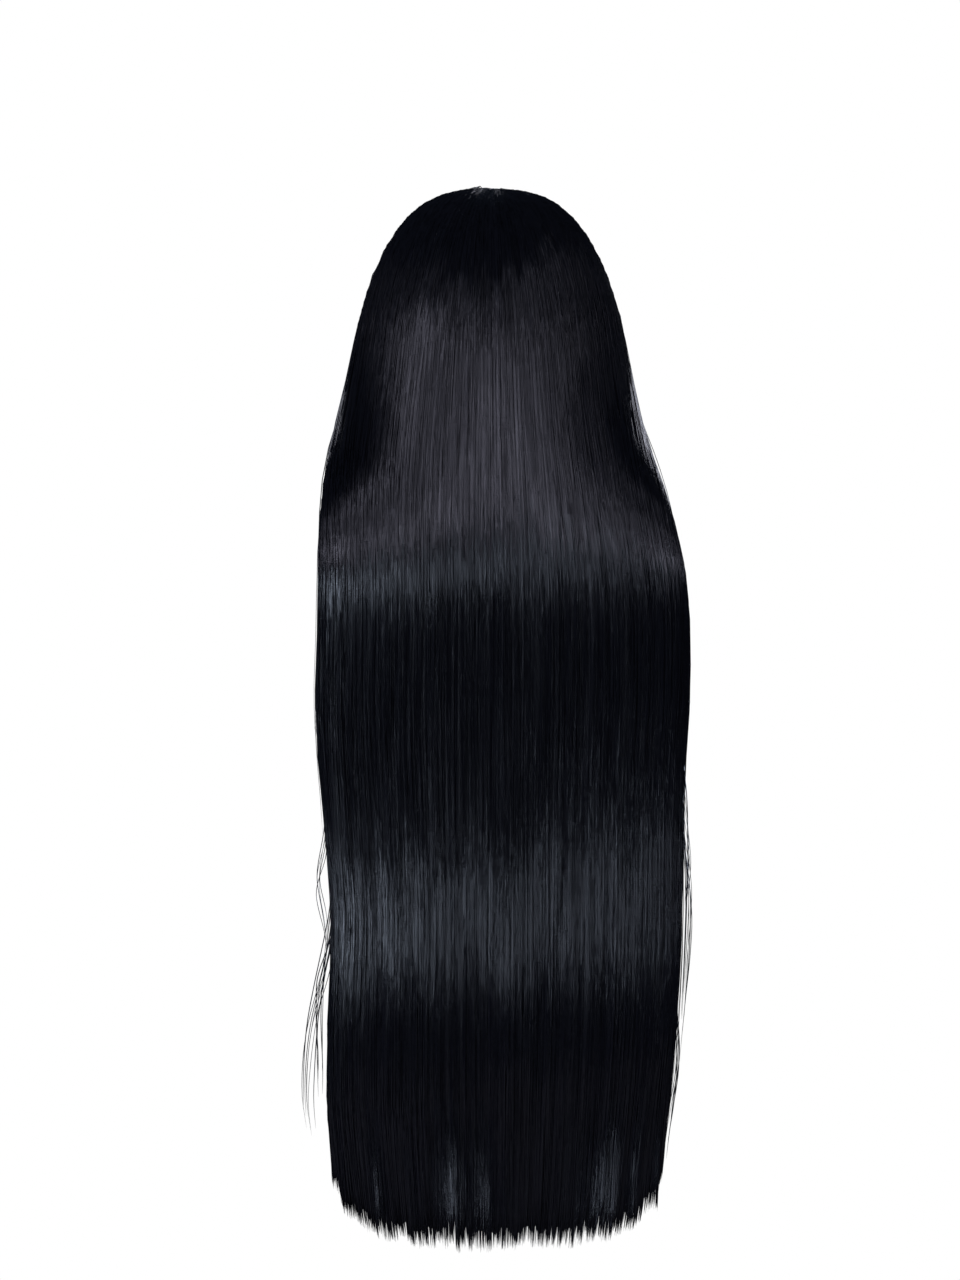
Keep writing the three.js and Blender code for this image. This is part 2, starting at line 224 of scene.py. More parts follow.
# The studio, in metres
FLOOR_BELOW = 0.07
FLOOR_RADIUS = 1.4
FLOOR_COLOUR = (0.3, 0.3, 0.3)
AMBIENT = (0.5, 0.65, 1.0)
AMBIENT_STRENGTH = 0.045
LIGHTS = [
    dict(name="band_box", place=(0, 4.2, 0.54), target=(0, 0.1, -0.2), size=(3.6, 0.3),
         radiance=4.4, colour=(0.8, 0.79, 1)),
    dict(name="crown_box", place=(0, 3.6, 1.13), target=(0, 0.1, -0.08), size=(3.2, 0.8),
         radiance=1.7, colour=(0.8, 0.79, 1)),
    dict(name="left_crown_box", place=(2.5, 2.7, 1.65), target=(0.06, 0.1, -0.15), size=(2, 0.8),
         radiance=2.3, colour=(0.8, 0.79, 1)),
    dict(name="top_box", place=(0, 2.8, 2.0), target=(0, 0.1, -0.08), size=(3, 1),
         radiance=0.4, colour=(0.78, 0.78, 1)),
    dict(name="low_box", place=(1.45, 4.2, -0.17), target=(0.1, 0.1, -0.5), size=(1.9, 0.3),
         radiance=4.4, colour=(0.7, 0.81, 1)),
    dict(name="low_right_box", place=(-0.85, 4.2, -0.17), target=(-0.1, 0.1, -0.5), size=(2.7, 0.26),
         radiance=1.7, colour=(0.74, 0.8, 1)),
    dict(name="left_box", place=(3.6, 2.4, 0.59), target=(0, 0.1, -0.2), size=(1.8, 0.41),
         radiance=5, colour=(0.8, 0.79, 1)),
    dict(name="right_box", place=(-3.6, 2.4, 0.62), target=(0, 0.1, -0.2), size=(1.8, 0.38),
         radiance=5, colour=(0.8, 0.79, 1)),
    dict(name="low_left_box", place=(3.4, 2.6, -0.25), target=(0, 0.1, -0.5), size=(2, 0.3),
         radiance=8, colour=(0.7, 0.81, 1)),
    dict(name="front_band_box", place=(0.5, -4.1, 0.5), target=(0, 0, -0.2), size=(3.4, 0.4),
         radiance=6, colour=(0.8, 0.79, 1)),
    dict(name="front_low_box", place=(-0.8, -4.1, -0.4), target=(0, 0, -0.5), size=(3, 0.3),
         radiance=3, colour=(0.7, 0.81, 1)),
    dict(name="front_right_box", place=(-2.4, -2.9, 1.5), target=(0, 0, -0.1), size=(1.8, 1),
         radiance=3, colour=(0.85, 0.87, 1)),
    dict(name="front_left_box", place=(2.2, -3.1, 1.9), target=(0, 0, -0.1), size=(1.4, 0.8),
         radiance=2, colour=(0.85, 0.87, 1)),
]

rng = np.random.default_rng(7)
bunch_edges = np.sort(rng.uniform(-1, 1, BUNCHES - 1))
bunch_middles = (np.append(-1, bunch_edges) + np.append(bunch_edges, 1)) / 2
bunch_values = rng.uniform(0, 1, (BUNCHES, 5))
flick_values = rng.uniform(0, 1, FLICK_GROUPS) ** 1.1


def smoothstep(value, low, high):
    share = np.clip((value - low) / (high - low), 0, 1)
    return share * share * (3 - 2 * share)


def read_table(table, key, name, at):
    """A smooth curve through one column of a table, read at values of its key column."""
    keys = np.array([row[key] for row in table], float)
    values = np.array([row[name] for row in table], float)
    at = np.clip(np.asarray(at, float), keys[0], keys[-1])
    low = np.clip(np.searchsorted(keys, at, side="left") - 1, 0, len(keys) - 2)
    before = np.maximum(np.arange(len(keys)) - 1, 0)
    after = np.minimum(np.arange(len(keys)) + 1, len(keys) - 1)
    slopes = (values[after] - values[before]) / (keys[after] - keys[before])
    span = keys[low + 1] - keys[low]
    t = (at - keys[low]) / span
    return (
        (2 * t**3 - 3 * t**2 + 1) * values[low]
        + (t**3 - 2 * t**2 + t) * span * slopes[low]
        + (3 * t**2 - 2 * t**3) * values[low + 1]
        + (t**3 - t**2) * span * slopes[low + 1]
    )


def mix(a, b, share):
    return a + (b - a) * share


def unit(vectors):
    return vectors / np.maximum(np.linalg.norm(vectors, axis=-1, keepdims=True), 1e-9)


def fall_point(across, drop):
    """Points of the fall and their outward directions. across: -1 right front edge, 0 middle of the back."""
    on_head = HEAD_WIDTH / 2 + SIDE_COVER
    centre = FORWARD_TUCK * read_table(FALL, "drop", "tuck", drop)
    swell = BACK_SWAY * read_table(FALL, "drop", "back", drop)
    behind = HEAD_LENGTH / 2 + BACK_COVER + swell - centre
    before = HEAD_LENGTH / 2 + FRONT_COVER
    ahead = (read_table(FALL, "drop", "wrap", drop) - 90) * np.abs(across) ** FLOW
    turn = across * np.radians(90 + ahead)
    left = mix(on_head, FALL_WIDTH / 2, read_table(FALL, "drop", "left", drop))
    right = mix(on_head, FALL_WIDTH / 2, read_table(FALL, "drop", "right", drop))
    wide = np.where(across > 0, left, right)
    deep = np.where(np.cos(turn) > 0, behind, before)
    z = HEAD_CENTRE[2] - FALL_LENGTH * drop
    aside = SIDE_SWAY * swell * (1 - np.maximum(np.cos(turn), 0))
    point = np.stack([wide * np.sin(turn), centre + deep * np.cos(turn) + aside, z + 0 * turn], axis=-1)
    outward = np.stack([np.sin(turn) / wide, np.cos(turn) / deep, 0 * turn], axis=-1)
    return point, unit(outward)


def root_point(across):
    """Where strands leave the hairline, the parting or the parting's rounded end, in plan."""
    reach = np.abs(across)
    sign = np.sign(across)
    side = sign * PART_WIDTH / 2
    at_brow = np.radians(HAIRLINE_TURN) * (reach - HAIRLINE_SHARE) / (1 - HAIRLINE_SHARE)
    brow_x = side + sign * HEAD_WIDTH / 2 * np.sin(at_brow)
    brow_y = -PART_FRONT * np.cos(at_brow)
    along = (reach - CROWN_SHARE) / (HAIRLINE_SHARE - CROWN_SHARE)
    turn = across / CROWN_SHARE * math.pi / 2
    x = np.where(reach > CROWN_SHARE, side, np.sin(turn) * PART_WIDTH / 2)
    y = np.where(reach > CROWN_SHARE, mix(PART_BACK, -PART_FRONT, along), PART_BACK + np.cos(turn) * PART_WIDTH / 2)
    return np.where(reach > HAIRLINE_SHARE, brow_x, x), np.where(reach > HAIRLINE_SHARE, brow_y, y)


def dome_height(x, y):
    """Height of the hair's dome over points in plan."""
    wide = HEAD_WIDTH / 2 + SIDE_COVER
    deep = np.where(y > 0, HEAD_LENGTH / 2 + BACK_COVER, HEAD_LENGTH / 2 + FRONT_COVER)
    radius = np.minimum(np.hypot(x / wide, y / deep), 1)
    dome = (HEAD_RISE + TOP_COVER) * (1 - radius**DOME_ROUND) ** DOME_POWER
    ahead = smoothstep(PART_BACK - y, 0, PART_BACK)
    dip = PART_DIP * ahead * np.exp(-((x / PART_DIP_REACH) ** 2))
    from_peak = np.hypot(x - CROWN_PEAK_SIDE, y - PART_BACK) / CROWN_PEAK_REACH
    return HEAD_CENTRE[2] + dome - dip + CROWN_PEAK * np.exp(-(from_peak**2))


def on_head(point, offset):
    """The points' shadows on a head grown by offset, seen from the middle of the head."""
    reach = point - HEAD_CENTRE
    rise = np.maximum(reach[..., 2], 0)
    size = (HEAD_WIDTH / 2 + offset, HEAD_LENGTH / 2 + offset, HEAD_RISE + offset)
    share = np.sqrt((reach[..., 0] / size[0]) ** 2 + (reach[..., 1] / size[1]) ** 2 + (rise / size[2]) ** 2)
    shadow = np.stack(
        [reach[..., 0] / share, reach[..., 1] / share, reach[..., 2] - rise + rise / share], axis=-1
    )
    return shadow + HEAD_CENTRE


def face_edge(across):
    return smoothstep(np.abs(across), 0.84, 1)


def dome_point(across, share):
    """Points of the dome, share 0 at the parting and 1 at the head's widest level."""
    root_x, root_y = root_point(across)
    rim, _ = fall_point(across, 0 * across)
    x, y = mix(root_x, rim[..., 0], share), mix(root_y, rim[..., 1], share)
    point = np.stack([x, y, dome_height(x, y)], axis=-1)
    outward = unit(point - HEAD_CENTRE)
    edge = on_head(point, CAP_WALL + CAP_GAP) + outward * EDGE_WALL
    rooted = smoothstep(np.abs(across), HAIRLINE_SHARE - 0.14, HAIRLINE_SHARE)
    at_brow = rooted * (1 - smoothstep(share, 0, 0.5))
    at_face = face_edge(across) * (1 - share * share)
    pull = 1 - (1 - at_brow) * (1 - at_face)
    return mix(point, edge, pull[..., None]), outward


def surface(across, place):
    """The outer form. place runs from -1 at the parting through 0 at the widest level to 1 at the tips."""
    across, place = np.broadcast_arrays(np.asarray(across, float), np.asarray(place, float))
    on_dome = place < 0
    dome, dome_out = dome_point(across, np.clip(place + 1, 0, 1))
    fall, fall_out = fall_point(across, np.clip(place, 0, 1.05))
    pick = on_dome[..., None]
    return np.where(pick, dome, fall), np.where(pick, dome_out, fall_out)


def layers(across, place):
    """The outer form, its outward directions, both layers' depths, and how far each has left the head."""
    point, outward = surface(across, place)
    thin = np.where(place > 0, smoothstep(place, 0.5, 0.95), 0)
    edge = np.where(place >= 0, face_edge(across) * (1 - thin), 0)
    top = mix(mix(TOP_LAYER, TIP_WALL, thin), EDGE_WALL, edge)
    under = mix(mix(UNDER_LAYER, TIP_WALL, thin), EDGE_WALL, edge)
    below = (HEAD_CENTRE[2] - point[..., 2]) / HEAD_RISE
    free = smoothstep(below, -0.65, -0.2)[..., None]
    hang = smoothstep(below, 0.05, 1.1)[..., None]
    return point, outward, top[..., None], under[..., None], free, hang


def strand_length(across, rise):
    """How far strands fall, as a share of FALL_LENGTH."""
    return (FALL_LENGTH - HEM_RISE * np.abs(across) ** HEM_ROUND - rise) / FALL_LENGTH


def make_mesh(name, points, faces, shade=None, along=None, smooth=True):
    """A mesh from points in millimetres and a list of index arrays of triangles or quads."""
    mesh = bpy.data.meshes.new(name)
    sizes = np.concatenate([np.full(len(f), f.shape[1]) for f in faces])
    loops = np.concatenate([f.ravel() for f in faces])
    mesh.vertices.add(len(points))
    mesh.vertices.foreach_set("co", (points * MM).astype(np.float32).ravel())
    mesh.loops.add(len(loops))
    mesh.loops.foreach_set("vertex_index", loops.astype(np.int32))
    mesh.polygons.add(len(sizes))
    starts = np.concatenate([[0], np.cumsum(sizes)[:-1]])
    mesh.polygons.foreach_set("loop_start", starts.astype(np.int32))
    mesh.polygons.foreach_set("use_smooth", np.full(len(sizes), smooth))
    if shade is not None:
        colours = mesh.color_attributes.new("shade", "FLOAT_COLOR", "POINT")
        rgba = np.stack([shade, shade, shade, np.ones_like(shade)], axis=-1)
        colours.data.foreach_set("color", rgba.astype(np.float32).ravel())
    if along is not None:
        uv = mesh.uv_layers.new(name="strands")
        uv.data.foreach_set("uv", along[loops].astype(np.float32).ravel())
    mesh.update(calc_edges=True)
    mesh.validate()
    piece = bpy.data.objects.new(name, mesh)
    bpy.context.scene.collection.objects.link(piece)
    return piece


def shell_faces(rows, columns, ring=False):
    """Faces of a closed body between an outer grid and an inner grid that follows it."""
    count = rows * columns
    grid = np.arange(count).reshape(rows, columns)
    if ring:
        grid = np.concatenate([grid, grid[:, :1]], axis=1)
    a, b, c, d = grid[:-1, :-1], grid[:-1, 1:], grid[1:, 1:], grid[1:, :-1]
    outer = np.stack([a, b, c, d], axis=-1).reshape(-1, 4)
    faces = [outer, outer[:, ::-1] + count]
    for row, flip in ((grid[0], False), (grid[-1], True)):
        rim = np.stack([row[:-1], row[:-1] + count, row[1:] + count, row[1:]], axis=-1)
        faces.append(rim[:, ::-1] if flip else rim)
    if not ring:
        for column, flip in ((grid[:, 0], True), (grid[:, -1], False)):
            rim = np.stack([column[:-1], column[:-1] + count, column[1:] + count, column[1:]], axis=-1)
            faces.append(rim[:, ::-1] if flip else rim)
    return faces


def waves(count, steps, low, high, terms=3):
    """Smooth random waves, one row for each strand, over steps from 0 to 1."""
    total = np.zeros((count, len(steps)))
    for k in range(terms):
        speed = rng.uniform(low, high, (count, 1))
        phase = rng.uniform(0, 2 * math.pi, (count, 1))
        total += np.sin(2 * math.pi * speed * steps + phase) / (k + 1)
    return total / sum(1 / (k + 1) for k in range(terms))


def prisms(name, paths, normals, widths, shades, flat=STRAND_FLAT, root=0.5, tip_share=0.06):
    """Strands as closed, tapering, three-sided bars, joined in one mesh."""
    count, steps = paths.shape[:2]
    tangent = unit(np.gradient(paths, axis=1))
    side = unit(np.cross(tangent, normals))
    up = np.cross(side, tangent)
    along = np.linspace(0, 1, steps)
    taper = np.minimum(mix(root, 1, smoothstep(along, 0, 0.06)), np.sqrt(np.clip((1 - along) / tip_share, 0, 1)))
    half = (widths[:, None] / 2 * np.maximum(taper, 0.12))[..., None]
    points = []
    for corner in range(3):
        angle = math.pi / 2 + corner * 2 * math.pi / 3
        points.append(paths + side * half * math.cos(angle) + up * half * flat * math.sin(angle) * 1.3)
    points = np.stack(points, axis=2).reshape(-1, 3)
    base = (np.arange(count * steps) * 3).reshape(count, steps)
    faces = []
    for corner in range(3):
        after = (corner + 1) % 3
        quad = [base[:, :-1] + corner, base[:, :-1] + after, base[:, 1:] + after, base[:, 1:] + corner]
        faces.append(np.stack(quad, axis=-1).reshape(-1, 4))
    faces.append(np.stack([base[:, 0] + 2, base[:, 0] + 1, base[:, 0]], axis=-1))
    faces.append(np.stack([base[:, -1], base[:, -1] + 1, base[:, -1] + 2], axis=-1))
    shade = np.repeat(shades, steps * 3)
    length = np.cumsum(np.linalg.norm(np.diff(paths, axis=1, prepend=paths[:, :1]), axis=-1), axis=1)
    u = np.repeat(rng.uniform(0, 1, count), steps * 3)
    v = np.repeat(length.reshape(-1), 3) * MM
    return make_mesh(name, points, faces, shade, np.stack([u, v], axis=-1))


def lock_relief(across, place):
    """1 along the crest of each lock and 0 in the grooves between them, with two sizes of lock."""
    total = 0
    for locks, weight, drift, phase in ((MASS_LOCKS, 0.6, 0.9, 0.4), (MASS_LOCKS * 2.3, 0.4, 1.7, 2.1)):
        wander = drift * np.sin(7 * across + 2.2 * place + phase) + 0.35 * np.sin(23 * across - 3 * place + phase)
        share = np.abs(np.mod(across * locks / 2 + wander, 1) * 2 - 1)
        total = total + weight * (1 - share**2)
    return total


def place_rows(start, tip, dome_rows, fall_rows):
    """Rows of a strand from its start on the dome down to its tip, for each column's tip."""
    dome = np.linspace(start, 0, dome_rows, endpoint=False)
    fall = np.linspace(0, 1, fall_rows)
    rows = [np.full_like(tip, value) for value in dome]
    rows += [tip * value for value in fall]
    return np.stack(rows)


def ragged(across):
    """How much shorter each lock ends: smooth across a lock, with two sizes of lock."""
    coarse = np.interp(across, np.linspace(-1, 1, 60), rng.uniform(0, 1, 60))
    fine = np.interp(across, np.linspace(-1, 1, 150), rng.uniform(0, 1, 150))
    return 0.55 * coarse + 0.45 * fine


def top_mass():
    """The solid body under the top strands."""
    across = np.linspace(-1, 1, MASS_COLUMNS)
    tip = strand_length(across, MASS_SHORT + MASS_RAGGED * ragged(across))
    place = place_rows(-1, tip, MASS_DOME_ROWS, MASS_FALL_ROWS)
    across = np.broadcast_to(across, place.shape)
    point, outward, top, _, free, _ = layers(across, place)
    relief = lock_relief(across, place)[..., None]
    sink = np.minimum(MASS_SINK + MASS_LOCK_DEPTH * (1 - relief) * free, top * 0.6)
    sink = sink - crown_lift(place)[..., None] * 0.7
    lying = on_head(point, CAP_WALL + CAP_GAP)
    outer = point - outward * sink
    inner = mix(lying, point - outward * top, free)
    # Painted shade: the mass's colour is darker in the grooves between locks and lighter on their crests.
    shade = np.clip(0.25 + 0.3 * relief[..., 0], 0, 1)
    along = np.stack([across * 0.3, np.where(place < 0, place * 0.15, place * FALL_LENGTH * MM)], axis=-1)
    along = along.reshape(-1, 2)
    points = np.concatenate([outer.reshape(-1, 3), inner.reshape(-1, 3)])
    rows, columns = place.shape
    return make_mesh(
        "top_hair_mass",
        points,
        shell_faces(rows, columns),
        np.tile(shade.ravel(), 2),
        np.concatenate([along, along]),
    )


def under_place(across, place):
    """The roof and the inner side of the under hair."""
    point, outward, top, under, free, hang = layers(across, place)
    lying = on_head(point, CAP_WALL + CAP_GAP)
    roof = mix(lying, point - outward * top, free) - outward * SOFT_GAP
    relief = lock_relief(across, place)[..., None]
    groove = MASS_LOCK_DEPTH * hang * (1 - relief)
    hanging = roof + outward * (groove - under)
    return roof, mix(lying, hanging, hang), outward, relief[..., 0]


def under_mass(panel):
    """One panel of the under hair."""
    columns = round(UNDER_COLUMNS * (panel["high"] - panel["low"]))
    across = np.linspace(panel["low"], panel["high"], columns)
    tip = strand_length(across, UNDER_RISE + MASS_SHORT + MASS_RAGGED * ragged(across))
    place = place_rows(panel["start"] - 1, tip, UNDER_DOME_ROWS, UNDER_FALL_ROWS)
    across = np.broadcast_to(across, place.shape)
    outer, inner, _, relief = under_place(across, place)
    # Painted shade: the under hair's colour is darker in the grooves between locks and lighter on their crests.
    shade = np.clip(0.2 + 0.3 * relief, 0, 1)
    along = np.stack([across * 0.3, place * FALL_LENGTH * MM], axis=-1).reshape(-1, 2)
    rows, count = place.shape
    return make_mesh(
        panel["name"] + "_mass",
        np.concatenate([outer.reshape(-1, 3), inner.reshape(-1, 3)]),
        shell_faces(rows, count),
        np.tile(shade.ravel(), 2),
        np.concatenate([along, along]),
    )


def strand_grid(starts, tips):
    """Places along each strand. Their inner rings are uneven, so that no two strands bend at the same ones."""
    steps = DOME_STEPS + FALL_STEPS
    ring = np.broadcast_to(np.arange(steps, dtype=float), (len(starts), steps)).copy()
    ring[:, 1:-2] += rng.uniform(-0.45, 0.45, (len(starts), 1))
    dome = starts[:, None] * (1 - ring / DOME_STEPS)
    fall = tips[:, None] * (ring - DOME_STEPS) / (FALL_STEPS - 2)
    place = np.where(ring < DOME_STEPS, dome, fall)
    place[:, -2] = tips - rng.uniform(*TIP_TAPER, len(tips)) / FALL_LENGTH
    place[:, -1] = tips
    return place


def strand_widths(count):
    low, high = STRAND_WIDTHS
    return low + (high - low) * rng.beta(1.4, 2.6, count)


def crown_lift(place):
    """How far the hair stands up over the crown."""
    return CROWN_LIFT * (1 - smoothstep(place, -0.5, 0.1))


def bunch_swing(bunch, place):
    """The in and out wave that all strands of a bunch share."""
    low, high = BUNCH_CYCLES
    cycles = mix(low, high, bunch_values[bunch, 0])[:, None]
    phase = bunch_values[bunch, 1][:, None]
    size = BUNCH_WAVE * mix(0.5, 1, bunch_values[bunch, 2])[:, None]
    size = size * (1 + 0.7 * (1 - smoothstep(place, 0, 0.2)))
    return size * np.sin(2 * math.pi * (cycles * place + phase))


def flick(base, place):
    """How far strands turn out at their ends, in groups."""
    group = np.interp(base, np.linspace(-1, 1, FLICK_GROUPS), flick_values)[:, None]
    return FLICK * group * smoothstep(place, 0.86, 1)


def top_strands(name, low, high, count):
    """Strands over the outside of the hair between two shares of its half width."""
    base = low + (high - low) * (np.arange(count) + rng.uniform(0, 1, count)) / count
    bunch = np.searchsorted(bunch_edges, base)
    at_crown = 1 - smoothstep(np.abs(base), CROWN_SHARE * 0.9, CROWN_SHARE * 1.25)
    starts = -1 + rng.uniform(0, 1, count) * mix(0.12, 0.72, at_crown)
    short = BUNCH_SPREAD * bunch_values[bunch, 3] ** 1.5 + TIP_SPREAD * rng.beta(1.1, 2.4, count)
    tips = strand_length(base, short)
    place = strand_grid(starts, tips)
    along = np.linspace(0, 1, place.shape[1])
    loose = smoothstep(place, -0.9, 0.25)
    sway = waves(count, along, 0.4, 1.6) * 0.003 * loose
    gather = (bunch_middles[bunch] - base)[:, None] * 0.1 * smoothstep(along, 0.8, 1)
    across = np.clip(base[:, None] + sway + gather, -1, 1)
    point, outward, _, _, free, _ = layers(across, place)
    relief = lock_relief(across, place)
    rooted = 1 - smoothstep(along, 0, 0.05)
    depth = rng.uniform(-0.2, 1.1, (count, 1)) + 0.3 * waves(count, along, 0.6, 2.2) * loose
    depth = depth + bunch_swing(bunch, place) * loose - crown_lift(place) - flick(base, place)
    depth = depth + MASS_LOCK_DEPTH * (1 - relief) * free[..., 0] + 2.2 * rooted
    point = point - outward * depth[..., None]
    shade = np.clip(0.5 + 0.35 * (bunch_values[bunch, 4] - 0.5) + 0.3 * rng.normal(0, 0.42, count), 0, 1)
    return prisms(name, point, outward, strand_widths(count), shade)


def under_strands(name, low, high, count):
    """Strands over the inside of the under hair."""
    base = low + (high - low) * (np.arange(count) + rng.uniform(0, 1, count)) / count
    beside_face = smoothstep(np.abs(base), 0.6, 0.8)
    starts = -rng.uniform(0.02, 0.1, count) - beside_face * rng.uniform(0.1, 0.5, count)
    bunch = np.searchsorted(bunch_edges, base)
    short = BUNCH_SPREAD * bunch_values[bunch, 3] + TIP_SPREAD * rng.beta(1.2, 2.2, count)
    tips = strand_length(base, UNDER_RISE * rng.uniform(0.1, 1, count) + short)
    place = strand_grid(starts, tips)[:, DOME_STEPS - 1 :]
    along = np.linspace(0, 1, place.shape[1])
    loose = smoothstep(place, 0, 0.3)
    across = np.clip(base[:, None] + waves(count, along, 0.4, 1.6) * 0.004 * loose, -0.985, 0.985)
    _, inner, outward, _ = under_place(across, place)
    depth = rng.uniform(-0.6, 0.5, (count, 1)) + 0.4 * waves(count, along, 0.6, 2.2) * loose
    rooted = 1 - smoothstep(along, 0, 0.05)
    point = inner + outward * (depth + 1.5 * rooted)[..., None]
    shade = np.clip(0.5 + 0.5 * rng.normal(0, 0.4, count), 0, 1)
    return prisms(name, point, -outward, strand_widths(count), shade)


def wisps():
    """Bunches of fine strands that stand away from both sides of the fall."""
    paths = []
    widths = []
    for row in WISPS:
        side = row["side"]
        for _ in range(row["strands"]):
            along = np.linspace(0, 1, WISP_STEPS)
            top = row["top"] + rng.uniform(-14, 14)
            bottom = row["bottom"] + rng.uniform(0, 1) ** 1.5 * row["uneven"]
            z = mix(top, bottom, along)
            place = (HEAD_CENTRE[2] - z) / FALL_LENGTH
            share = rng.uniform(0.5, 1.05)
            rise = smoothstep(along, 0, row["full_at"]) * (1 - row["back_in"] * smoothstep(along, row["full_at"], 1))
            wave = row["wave"] * waves(1, along, 0.5, 1.4)[0] * smoothstep(along, 0, 0.25)
            point, _ = surface(side * (WISP_ACROSS - 0.06 * rng.uniform()), place)
            out = row["reach"] * share * rise + wave
            deep = 3 * waves(1, along, 0.4, 1)[0] * smoothstep(along, 0, 0.3)
            paths.append(point + np.stack([side * out, deep, 0 * along], axis=-1))
            widths.append(rng.uniform(*WISP_WIDTHS))
    paths = np.array(paths)
    normals = np.broadcast_to([0.0, 1.0, 0.0], paths.shape)
    shades = rng.uniform(0.3, 0.8, len(paths))
    return prisms("loose_wisps", paths, normals, np.array(widths), shades, flat=0.9, root=0.5, tip_share=0.3)


def flyaways():
    """Single fine hairs that lift off the outside of the hair and lie slightly across it."""
    base = np.clip(rng.uniform(-1, 1, FLYAWAYS) * 1.02, -1, 1)
    starts = -rng.uniform(0.05, 0.9, FLYAWAYS)
    tips = strand_length(base, rng.uniform(0, 1, FLYAWAYS) ** 2 * 420)
    place = strand_grid(starts, tips)
    along = np.linspace(0, 1, place.shape[1])
    loose = smoothstep(along, 0.1, 0.5)
    across = np.clip(base[:, None] + waves(FLYAWAYS, along, 0.5, 1.6) * 0.02 * loose, -1, 1)
    point, outward, _, _, _, _ = layers(across, place)
    lift = rng.uniform(0.2, 1, (FLYAWAYS, 1)) ** 2 * FLYAWAY_LIFT * (0.4 + 0.6 * waves(FLYAWAYS, along, 0.5, 1.5)) * loose
    point = point + outward * (lift + crown_lift(place))[..., None]
    widths = rng.uniform(*WISP_WIDTHS, FLYAWAYS)
    return prisms("flyaways", point, outward, widths, rng.uniform(0.3, 0.8, FLYAWAYS), flat=0.9, tip_share=0.3)


def cap_net():
    """The net cap, with a soft rolled edge."""
    turns = np.linspace(0, 360, CAP_TURNS, endpoint=False)
    from_brow = np.minimum(turns, 360 - turns)
    rim = np.arccos(1 - read_table(CAP_RIM, "turn", "drop", from_brow))
    share = np.linspace(0, 1, CAP_RINGS)[:, None]
    tilt = np.maximum(rim * share, 0.004)
    around = np.radians(turns)

    def wall(offset):
        return np.stack(
            [
                -(HEAD_WIDTH / 2 + offset) * np.sin(tilt) * np.sin(around),
                -(HEAD_LENGTH / 2 + offset) * np.sin(tilt) * np.cos(around),
                HEAD_CENTRE[2] + (HEAD_RISE + offset) * np.cos(tilt),
            ],
            axis=-1,
        )

    band = smoothstep(share, 0.94, 0.965) * np.ones_like(tilt)
    inner = wall(-0.5 * band)
    outer = wall(CAP_WALL)
    along = np.stack([around * HEAD_WIDTH / 2 * MM * np.ones_like(tilt), tilt * HEAD_RISE * MM], axis=-1)
    along = along.reshape(-1, 2)
    rows, columns = tilt.shape
    return make_mesh(
        "cap_net",
        np.concatenate([outer.reshape(-1, 3), inner.reshape(-1, 3)]),
        shell_faces(rows, columns, ring=True),
        np.tile(band.ravel(), 2),
        np.concatenate([along, along]),
    )


class Nodes:
    """A small helper that adds and links shader nodes."""

    def __init__(self, name):
        self.material = bpy.data.materials.new(name)
        self.material.use_nodes = True
        self.tree = self.material.node_tree
        self.shader = self.tree.nodes["Principled BSDF"]

    def add(self, kind, inputs=None, **settings):
        node = self.tree.nodes.new("ShaderNode" + kind)
        for key, value in settings.items():
            setattr(node, key, value)
        for key, value in (inputs or {}).items():
            if isinstance(value, bpy.types.NodeSocket):
                self.tree.links.new(value, node.inputs[key])
            else:
                node.inputs[key].default_value = value
        return node

    def link(self, value, socket):
        self.tree.links.new(value, self.shader.inputs[socket])


def hair_material(name, dark, light, roughness, swing, fibre):
    """Near-black glossy fibre: fine streaks along the strands in colour, gloss and relief."""
    n = Nodes(name)
    shade = n.add("Attribute", attribute_name="shade").outputs["Fac"]
    uv = n.add("UVMap", uv_map="strands").outputs["UV"]
    wide = n.add("Mapping", {"Vector": uv, "Scale": (900, 5, 1)}).outputs["Vector"]
    fine = n.add("Mapping", {"Vector": uv, "Scale": (4200, 9, 1)}).outputs["Vector"]
    slow = n.add("Mapping", {"Vector": uv, "Scale": (500, 26, 1)}).outputs["Vector"]
    streaks = n.add("TexNoise", {"Vector": wide, "Scale": 1, "Detail": 4, "Roughness": 0.6}).outputs["Fac"]
    fibres = n.add("TexNoise", {"Vector": fine, "Scale": 1, "Detail": 2, "Roughness": 0.5}).outputs["Fac"]
    swings = n.add("TexNoise", {"Vector": slow, "Scale": 1, "Detail": 2, "Roughness": 0.5}).outputs["Fac"]
    # The shade attribute is a random tone on the strands. On the masses it is painted shade that darkens the grooves
    # between locks.
    both = n.add("Math", {0: shade, 1: streaks}, operation="MULTIPLY").outputs[0]
    colour = n.add("Mix", {0: both, 6: (*dark, 1), 7: (*light, 1)}, data_type="RGBA")
    n.link(colour.outputs[2], "Base Color")
    low, high = roughness
    uneven = n.add("Math", {0: streaks, 1: shade}, operation="ADD").outputs[0]
    gloss = n.add("MapRange", {"Value": uneven, "From Min": 0.6, "From Max": 1.4, "To Min": high, "To Max": low})
    n.link(gloss.outputs["Result"], "Roughness")
    swinging = n.add("Bump", {"Height": swings, "Strength": 1, "Distance": swing}).outputs["Normal"]
    relief = n.add("Bump", {"Height": fibres, "Strength": 0.5, "Distance": fibre, "Normal": swinging})
    n.link(relief.outputs["Normal"], "Normal")
    n.shader.inputs["IOR"].default_value = 1.55
    return n.material


